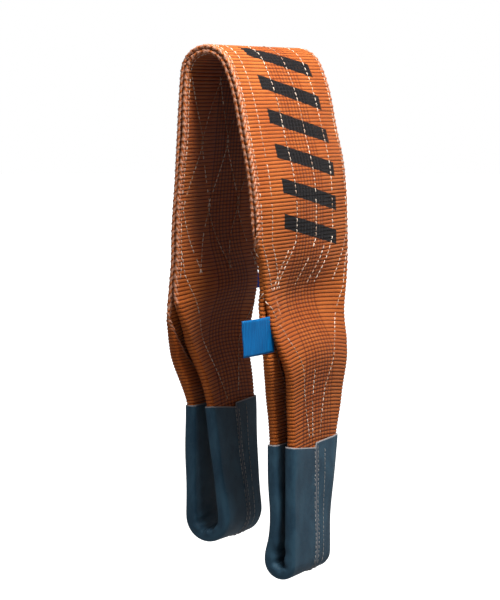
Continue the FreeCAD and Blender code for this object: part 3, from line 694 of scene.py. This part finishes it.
class Nodes:
    """A small helper that builds one material's node tree."""

    def __init__(self, name):
        self.material = bpy.data.materials.new(name)
        self.material.use_nodes = True
        self.tree = self.material.node_tree
        self.shader = next(n for n in self.tree.nodes if n.type == "BSDF_PRINCIPLED")

    def add(self, kind, inputs=None, **settings):
        """A new node, with its settings, and values or links for its named inputs."""
        node = self.tree.nodes.new(kind)
        for key, setting in settings.items():
            setattr(node, key, setting)
        for key, source in (inputs or {}).items():
            self.put(node.inputs[key], source)
        return node

    def put(self, socket, source):
        """Links another node's socket to this one, or sets this one's own value."""
        if isinstance(source, bpy.types.NodeSocket):
            self.tree.links.new(source, socket)
        else:
            socket.default_value = source

    def math(self, operation, a, b=None, c=None):
        node = self.add("ShaderNodeMath", operation=operation)
        for socket, source in zip(node.inputs, (a, b, c)):
            if source is not None:
                self.put(socket, source)
        return node.outputs[0]

    def ramp(self, source, low, high):
        """0 below low and 1 above high, smooth between."""
        node = self.add("ShaderNodeMapRange", {"Value": source, "From Min": low, "From Max": high})
        node.interpolation_type = "SMOOTHSTEP"
        return node.outputs["Result"]

    def mix(self, factor, a, b):
        node = self.add("ShaderNodeMix", data_type="RGBA")
        for key, source in ((0, factor), (6, a), (7, b)):
            self.put(node.inputs[key], source)
        return node.outputs[2]

    def attribute(self, name):
        return self.add("ShaderNodeAttribute", attribute_name=name)

    def scaled(self, vector, scale):
        node = self.add("ShaderNodeVectorMath", operation="MULTIPLY")
        self.put(node.inputs[0], vector)
        node.inputs[1].default_value = scale
        return node.outputs[0]

    def band(self, source, low, high, fade):
        """1 between low and high, fading to 0 past each."""
        below = self.math("SUBTRACT", 1.0, self.ramp(source, high, high + fade))
        return self.math("MULTIPLY", self.ramp(source, low, low + fade), below)

    def noise(self, vector, scale, detail=3.0):
        inputs = {"Vector": vector, "Scale": scale, "Detail": detail, "Roughness": 0.6}
        return self.add("ShaderNodeTexNoise", inputs).outputs["Fac"]

    def finish(self, colour, height, distance, strength, **sockets):
        """Joins colour, bump and the shader's other values to the shader."""
        bump = self.add("ShaderNodeBump", {"Height": height, "Distance": distance, "Strength": strength})
        self.put(self.shader.inputs["Normal"], bump.outputs[0])
        self.put(self.shader.inputs["Base Color"], colour)
        for key, setting in sockets.items():
            self.put(self.shader.inputs[key.replace("_", " ")], setting)
        return self.material


# the two crest colours are the yarn's own tones; the third colour is painted shade, for the valleys
# between the ribs and the waffle's pits
CREST, CREST_WARM, VALLEY_SHADE = (0.38, 0.083, 0.013, 1), (0.50, 0.138, 0.027, 1), (0.12, 0.021, 0.005, 1)
SELVAGE, INK = (0.52, 0.25, 0.16, 1), (0.006, 0.005, 0.006, 1)
SLEEVE_DARK, SLEEVE_LIGHT = (0.018, 0.050, 0.084, 1), (0.034, 0.086, 0.132, 1)
SLEEVE_SLUB, SLEEVE_CUT = (0.06, 0.105, 0.135, 1), (0.30, 0.28, 0.285, 1)
PRINT_PITCH, PRINT_BAR = 33.0, 14.0  # from bar to bar, and a bar's width, in mm along the webbing
PRINT_TILT, PRINT_START = -0.2, 15.0  # the bars' slope, and how far into a pitch u = 0 is
PRINT_ACROSS, PRINT_ALONG = (-48.0, 60.0), (10.0, 205.0)  # w and u between which there is print


def printed_bars(n, w, u, face, yarn, slub):
    """Where the ink lies: plain worn bars across the outer face, ragged at their edges."""
    ragged = n.math("MULTIPLY", n.math("SUBTRACT", slub, 0.5), 2.2)
    along = n.math("ADD", n.math("MULTIPLY_ADD", w, PRINT_TILT, u), ragged)
    phase = n.math("MODULO", n.math("ADD", along, PRINT_START), PRINT_PITCH)
    bar = n.band(phase, 0.0, PRINT_BAR, 0.5)
    for place, (low, high) in ((w, PRINT_ACROSS), (along, PRINT_ALONG)):
        bar = n.math("MULTIPLY", bar, n.band(n.math("ADD", place, ragged), low, high, 0.6))
    bar = n.math("MULTIPLY", bar, n.math("LESS_THAN", face, 0.5))
    worn = n.math("SUBTRACT", 1.0, n.math("MULTIPLY", n.ramp(yarn, 0.62, 0.8), 0.35))
    return n.math("MULTIPLY", bar, worn)


def web_material(name, printed):
    """Ribbed webbing: warm crests, valleys darkened with painted shade, a pale braided edge and, if asked,
    the print.
    """
    n = Nodes(name)
    weave = n.attribute("weave").outputs["Vector"]
    w, u, face = n.add("ShaderNodeSeparateXYZ", {"Vector": weave}).outputs
    hollow_shade = n.attribute("hollow_shade").outputs["Fac"]
    yarn = n.noise(n.scaled(weave, (1.5, 0.28, 3)), 1.0, 2.0)
    slub = n.noise(n.scaled(weave, (0.09, 0.6, 3)), 1.0, 3.0)
    patch = n.noise(n.scaled(weave, (0.022, 0.016, 3)), 1.0, 2.0)
    tone = n.math("MULTIPLY_ADD", yarn, 0.5, n.math("MULTIPLY", patch, 0.6))
    colour = n.mix(n.ramp(tone, 0.38, 0.75), CREST, CREST_WARM)
    # painted shade: the further down a valley or a waffle pit a place lies, the darker it is painted, a
    # little uneven with the slub
    valley_shade_mask = n.ramp(n.math("MULTIPLY_ADD", slub, 0.22, hollow_shade), 0.22, 0.98)
    colour = n.mix(valley_shade_mask, colour, VALLEY_SHADE)
    edge = n.ramp(n.math("ABSOLUTE", w), 84.5, 88.0)
    braid = n.math("SINE", n.math("MULTIPLY_ADD", w, 1.9, n.math("MULTIPLY", u, math.pi / RIB)))
    pale = n.math("MULTIPLY", edge, n.ramp(n.math("MULTIPLY_ADD", yarn, 1.2, braid), -0.3, 1.3))
    colour = n.mix(pale, colour, SELVAGE)
    if printed:
        colour = n.mix(printed_bars(n, w, u, face, yarn, slub), colour, INK)
    twill = n.math("SINE", n.math("MULTIPLY_ADD", w, 5.2, n.math("MULTIPLY", u, 1.3)))
    height = n.math("MULTIPLY_ADD", yarn, 0.9, n.math("MULTIPLY", twill, 0.22))
    looks = {"Roughness": 0.52, "Specular_IOR_Level": 0.14, "Sheen_Weight": 0.03, "Sheen_Roughness": 0.4}
    return n.finish(colour, height, 0.0004, 0.9, **looks)


def thread_material(name, light, dark):
    """Twisted thread, a little grubby in places."""
    n = Nodes(name)
    place = n.add("ShaderNodeTexCoord").outputs["Object"]
    grain = n.noise(place, 900.0, 2.0)
    patch = n.noise(place, 45.0, 2.0)
    colour = n.mix(n.ramp(patch, 0.36, 0.66), dark, light)
    ply = n.add("ShaderNodeTexWave", {"Vector": place, "Scale": 160.0, "Distortion": 1.5})
    height = n.math("MULTIPLY_ADD", grain, 0.6, ply.outputs["Fac"])
    return n.finish(colour, height, 0.00012, 0.7, Roughness=0.62, Sheen_Weight=0.2)


def sleeve_material():
    """Coarse plain cloth with pale cut edges."""
    n = Nodes("sleeve_cloth")
    weave = n.attribute("weave").outputs["Vector"]
    y, u, _ = n.add("ShaderNodeSeparateXYZ", {"Vector": weave}).outputs
    warp = n.math("SINE", n.math("MULTIPLY", y, 6.4))
    weft = n.math("SINE", n.math("MULTIPLY", u, 6.4))
    plain = n.math("MULTIPLY", warp, weft)
    patch = n.noise(n.scaled(weave, (0.05, 0.035, 0.1)), 1.0, 3.0)
    slub = n.noise(n.scaled(weave, (0.25, 2.2, 0.3)), 1.0, 2.0)
    colour = n.mix(n.ramp(patch, 0.32, 0.7), SLEEVE_DARK, SLEEVE_LIGHT)
    colour = n.mix(n.math("MULTIPLY", n.ramp(slub, 0.5, 0.8), 0.35), colour, SLEEVE_SLUB)
    cut = n.ramp(n.attribute("cut").outputs["Fac"], 0.25, 0.75)
    colour = n.mix(cut, colour, SLEEVE_CUT)
    rough = n.math("MULTIPLY_ADD", patch, 0.2, 0.36)
    height = n.math("MULTIPLY_ADD", plain, 0.5, slub)
    looks = {"Roughness": rough, "Specular_IOR_Level": 0.16, "Sheen_Weight": 0.04, "Sheen_Roughness": 0.45}
    return n.finish(colour, height, 0.00016, 0.6, **looks)


def label_material(name, light, dark, streak):
    """Fine ribbed label cloth, streaked across its length."""
    n = Nodes(name)
    weave = n.attribute("weave").outputs["Vector"]
    z = n.add("ShaderNodeSeparateXYZ", {"Vector": weave}).outputs["Y"]
    line = n.noise(n.scaled(weave, (streak, 0.05, 1)), 1.0, 2.0)
    grain = n.noise(n.scaled(weave, (3.0, 3.0, 1)), 1.0, 2.0)
    ribs = n.math("SINE", n.math("MULTIPLY", z, 7.0))
    colour = n.mix(n.ramp(line, 0.35, 0.7), dark, light)
    colour = n.mix(n.math("MULTIPLY", n.ramp(grain, 0.5, 0.9), 0.25), colour, dark)
    height = n.math("MULTIPLY_ADD", ribs, 0.3, n.math("ADD", line, grain))
    return n.finish(colour, height, 0.00015, 0.7, Roughness=0.5, Specular_IOR_Level=0.2)


WEB_PLAIN = web_material("webbing", False)
WEB_PRINTED = web_material("webbing_printed", True)
THREAD = thread_material("stitch_thread", (0.84, 0.69, 0.56, 1), (0.42, 0.24, 0.15, 1))
SEAM_THREAD = thread_material("sleeve_thread", (0.52, 0.49, 0.47, 1), (0.26, 0.25, 0.24, 1))
SLEEVE = sleeve_material()
LABEL = label_material("label_cloth", (0.001, 0.17, 0.47, 1), (0.001, 0.10, 0.31, 1), 1.1)
TAG = label_material("tag_cloth", (0.001, 0.06, 0.55, 1), (0.001, 0.03, 0.36, 1), 2.0)

# ---------------------------------------------------------------- the sling's pieces


def dress(piece, material):
    """Gives the piece its one material."""
    piece.data.materials.append(material)
    return piece


def across_hinge(piece, direction):
    """Bakes the piece's placement into its mesh."""
    direction = direction / np.linalg.norm(direction)
    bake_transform(piece)


def at_leg(web, height, inner):
    """u of the place on a leg where the webbing is at a height, at the bottom of a rib."""
    part = web.u > web.bottom if inner else web.u < web.bottom
    away = np.where(part, np.abs(web.z - height), math.inf)
    return RIB * round(web.u[np.argmin(away)] / RIB)


def leg_pieces(web, side, material, layer, first, last, lines):
    """One ply of a leg and its stitching, from the middle of the top bend to the split."""
    outer = layer == "outer"
    rows = [f"stitching_{side}", "stitching_top"] if outer else [f"bobbin_stitching_{side}"]
    leave = math.atan2(web.hinge[2], abs(web.hinge[0]))
    off_top = np.array([web.mirror * math.sin(leave), 0, -math.cos(leave)])
    strip = dress(web_piece(web, f"web_{layer}_{side}", first, last), material)
    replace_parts(strip, f"{layer}_ply_top", f"{layer}_ply_{side}")
    thread = stitches(web, f"stitches_{layer}_{side}", split_lines(lines, first, last))
    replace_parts(dress(thread, THREAD), *rows)
    for piece in (strip, thread):
        across_hinge(piece, off_top)


def eye_pieces(web, side, material, first, last, lines_out, lines_in):
    """The rest of the webbing, round the eye, and its stitching."""
    loop = dress(web_piece(web, f"web_eye_{side}", first, last), material)
    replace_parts(loop, f"eye_web_{side}")
    lines = split_lines(lines_out, first, math.inf) + split_lines(lines_in, -math.inf, last)
    thread = dress(stitches(web, f"stitches_eye_{side}", lines), THREAD)
    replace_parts(thread, f"crotch_stitching_{side}", f"fold_stitching_{side}")
    for piece in (loop, thread):
        across_hinge(piece, np.array([0.0, 0.0, -1.0]))


def sleeve_pieces(web, side):
    """The sleeve round the eye, and the thread rows along it."""
    sleeve = dress(sleeve_piece(web, f"sleeve_{side}"), SLEEVE)
    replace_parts(sleeve, f"eye_sleeve_{side}")
    seam = dress(sleeve_seam(web, f"sleeve_stitches_{side}"), SEAM_THREAD)
    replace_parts(seam, f"sleeve_seam_{side}")
    for piece in (sleeve, seam):
        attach(piece, f"{side}_eye")


for side in SIDES:
    web = Web(side)
    material = WEB_PRINTED if side == "right" else WEB_PLAIN
    split_out, split_in = at_leg(web, SPLIT_HEIGHT, False), at_leg(web, SPLIT_HEIGHT, True)
    lines_out, lines_in = outer_lines(web), inner_lines(web)
    leg_pieces(web, side, material, "outer", 0.0, split_out, lines_out)
    leg_pieces(web, side, material, "inner", split_in, web.length, lines_in)
    eye_pieces(web, side, material, split_out, split_in, lines_out, lines_in)
    sleeve_pieces(web, side)

for slot, node, side, bow, cloth in (
    ("label", "identification_label", "right", -2.6, LABEL),
    ("tag", "small_tag", "left", 1.6, TAG),
):
    piece, (x, y, z), front, flat = label_piece(f"{slot}_cloth", node, side, bow)
    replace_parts(dress(piece, cloth), node, f"{node}_root")
    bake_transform(piece)

# ---------------------------------------------------------------- studio

FLOOR_REACH, FLOOR_HEIGHT = 30.0, cad_low.z - 0.75  # metres, as are the places below
LAMP_COLOUR, SKY_COLOUR, PAPER_COLOUR = (1.0, 0.975, 0.94), (0.97, 0.985, 1.0, 1), (0.94, 0.94, 0.94, 1)
WHITE = (1, 1, 1, 1)
SKY_STRENGTH, PAPER_GLOW = 0.33, 0.9
SUN_SIDE, TOP_LIGHT_PLACE = (0.62, -0.22, 1.25), (0.30, -0.15, 0.45)
CAMERA_PLACE = (0.9124, -1.5880, -0.0168)
CAMERA_AZIMUTH, CAMERA_PITCH = math.radians(30.0), math.radians(6.2)
LENS, SENSOR = 114.0, 36.0


def place_object(name, data, location=(0, 0, 0), rotation=None):
    """An object in the scene, at a place and, if one is given, with a quaternion's rotation."""
    placed = bpy.data.objects.new(name, data)
    placed.location = location
    if rotation:
        placed.rotation_mode = "QUATERNION"
        placed.rotation_quaternion = rotation
    bpy.context.scene.collection.objects.link(placed)
    return placed


def studio_floor():
    """A wide sheet of pale paper, well below the sling."""
    sheet = bpy.data.meshes.new("floor")
    corners = [(-1, -1), (1, -1), (1, 1), (-1, 1)]
    points = [(FLOOR_REACH * a, FLOOR_REACH * b, FLOOR_HEIGHT) for a, b in corners]
    sheet.from_pydata(points, [], [(0, 1, 2, 3)])
    paper = Nodes("studio_paper")
    grain = paper.noise(paper.add("ShaderNodeTexCoord").outputs["Object"], 60.0)
    looks = {"Roughness": 0.9, "Emission_Color": WHITE, "Emission_Strength": PAPER_GLOW}
    sheet.materials.append(paper.finish(PAPER_COLOUR, grain, 0.0002, 0.2, **looks))
    return place_object("floor", sheet)


def studio_backdrop():
    """A white glowing sphere all round, which the camera sees behind the sling."""
    bpy.ops.mesh.primitive_uv_sphere_add(segments=48, ring_count=24, radius=FLOOR_REACH * 0.9)
    sphere = bpy.context.object
    sphere.name = "backdrop"
    glow = bpy.data.materials.new("studio_backdrop")
    glow.use_nodes = True
    nodes = glow.node_tree.nodes
    nodes.clear()
    emission = nodes.new("ShaderNodeEmission")
    emission.inputs["Color"].default_value = WHITE
    output = nodes.new("ShaderNodeOutputMaterial")
    glow.node_tree.links.new(emission.outputs[0], output.inputs["Surface"])
    sphere.data.materials.append(glow)
    sphere.visible_shadow = False
    return sphere


def lamp(name, kind, energy, towards, location=(0, 0, 0), **settings):
    """A lamp on the side that towards points to, shining back at the origin."""
    light = bpy.data.lights.new(name, kind)
    light.energy, light.color = energy, LAMP_COLOUR
    for key, setting in settings.items():
        setattr(light, key, setting)
    place_object(name, light, location, Vector(towards).to_track_quat("Z", "Y"))


def studio_camera():
    """The camera, to the right and in front, looking a little down at the sling."""
    level = math.cos(CAMERA_PITCH)
    ahead = Vector((
        -math.sin(CAMERA_AZIMUTH) * level,
        math.cos(CAMERA_AZIMUTH) * level,
        -math.sin(CAMERA_PITCH),
    ))
    view = bpy.data.cameras.new("camera")
    view.lens, view.sensor_width, view.clip_end = LENS, SENSOR, 100
    return place_object("camera", view, CAMERA_PLACE, ahead.to_track_quat("-Z", "Y"))


backdrop, floor = studio_backdrop(), studio_floor()
for stage_object in (floor, backdrop):
    stage_object.visible_diffuse = stage_object.visible_glossy = False
world = bpy.data.worlds.new("studio")
world.use_nodes = True
sky = world.node_tree.nodes["Background"]
sky.inputs["Color"].default_value = SKY_COLOUR
sky.inputs["Strength"].default_value = SKY_STRENGTH
bpy.context.scene.world = world
lamp("key", "SUN", 1.2, SUN_SIDE, angle=math.radians(16))
lamp("top_light", "AREA", 8.3, TOP_LIGHT_PLACE, TOP_LIGHT_PLACE, shape="DISK", size=0.25)
bpy.context.scene.camera = studio_camera()
bpy.context.scene.view_settings.view_transform = "Standard"
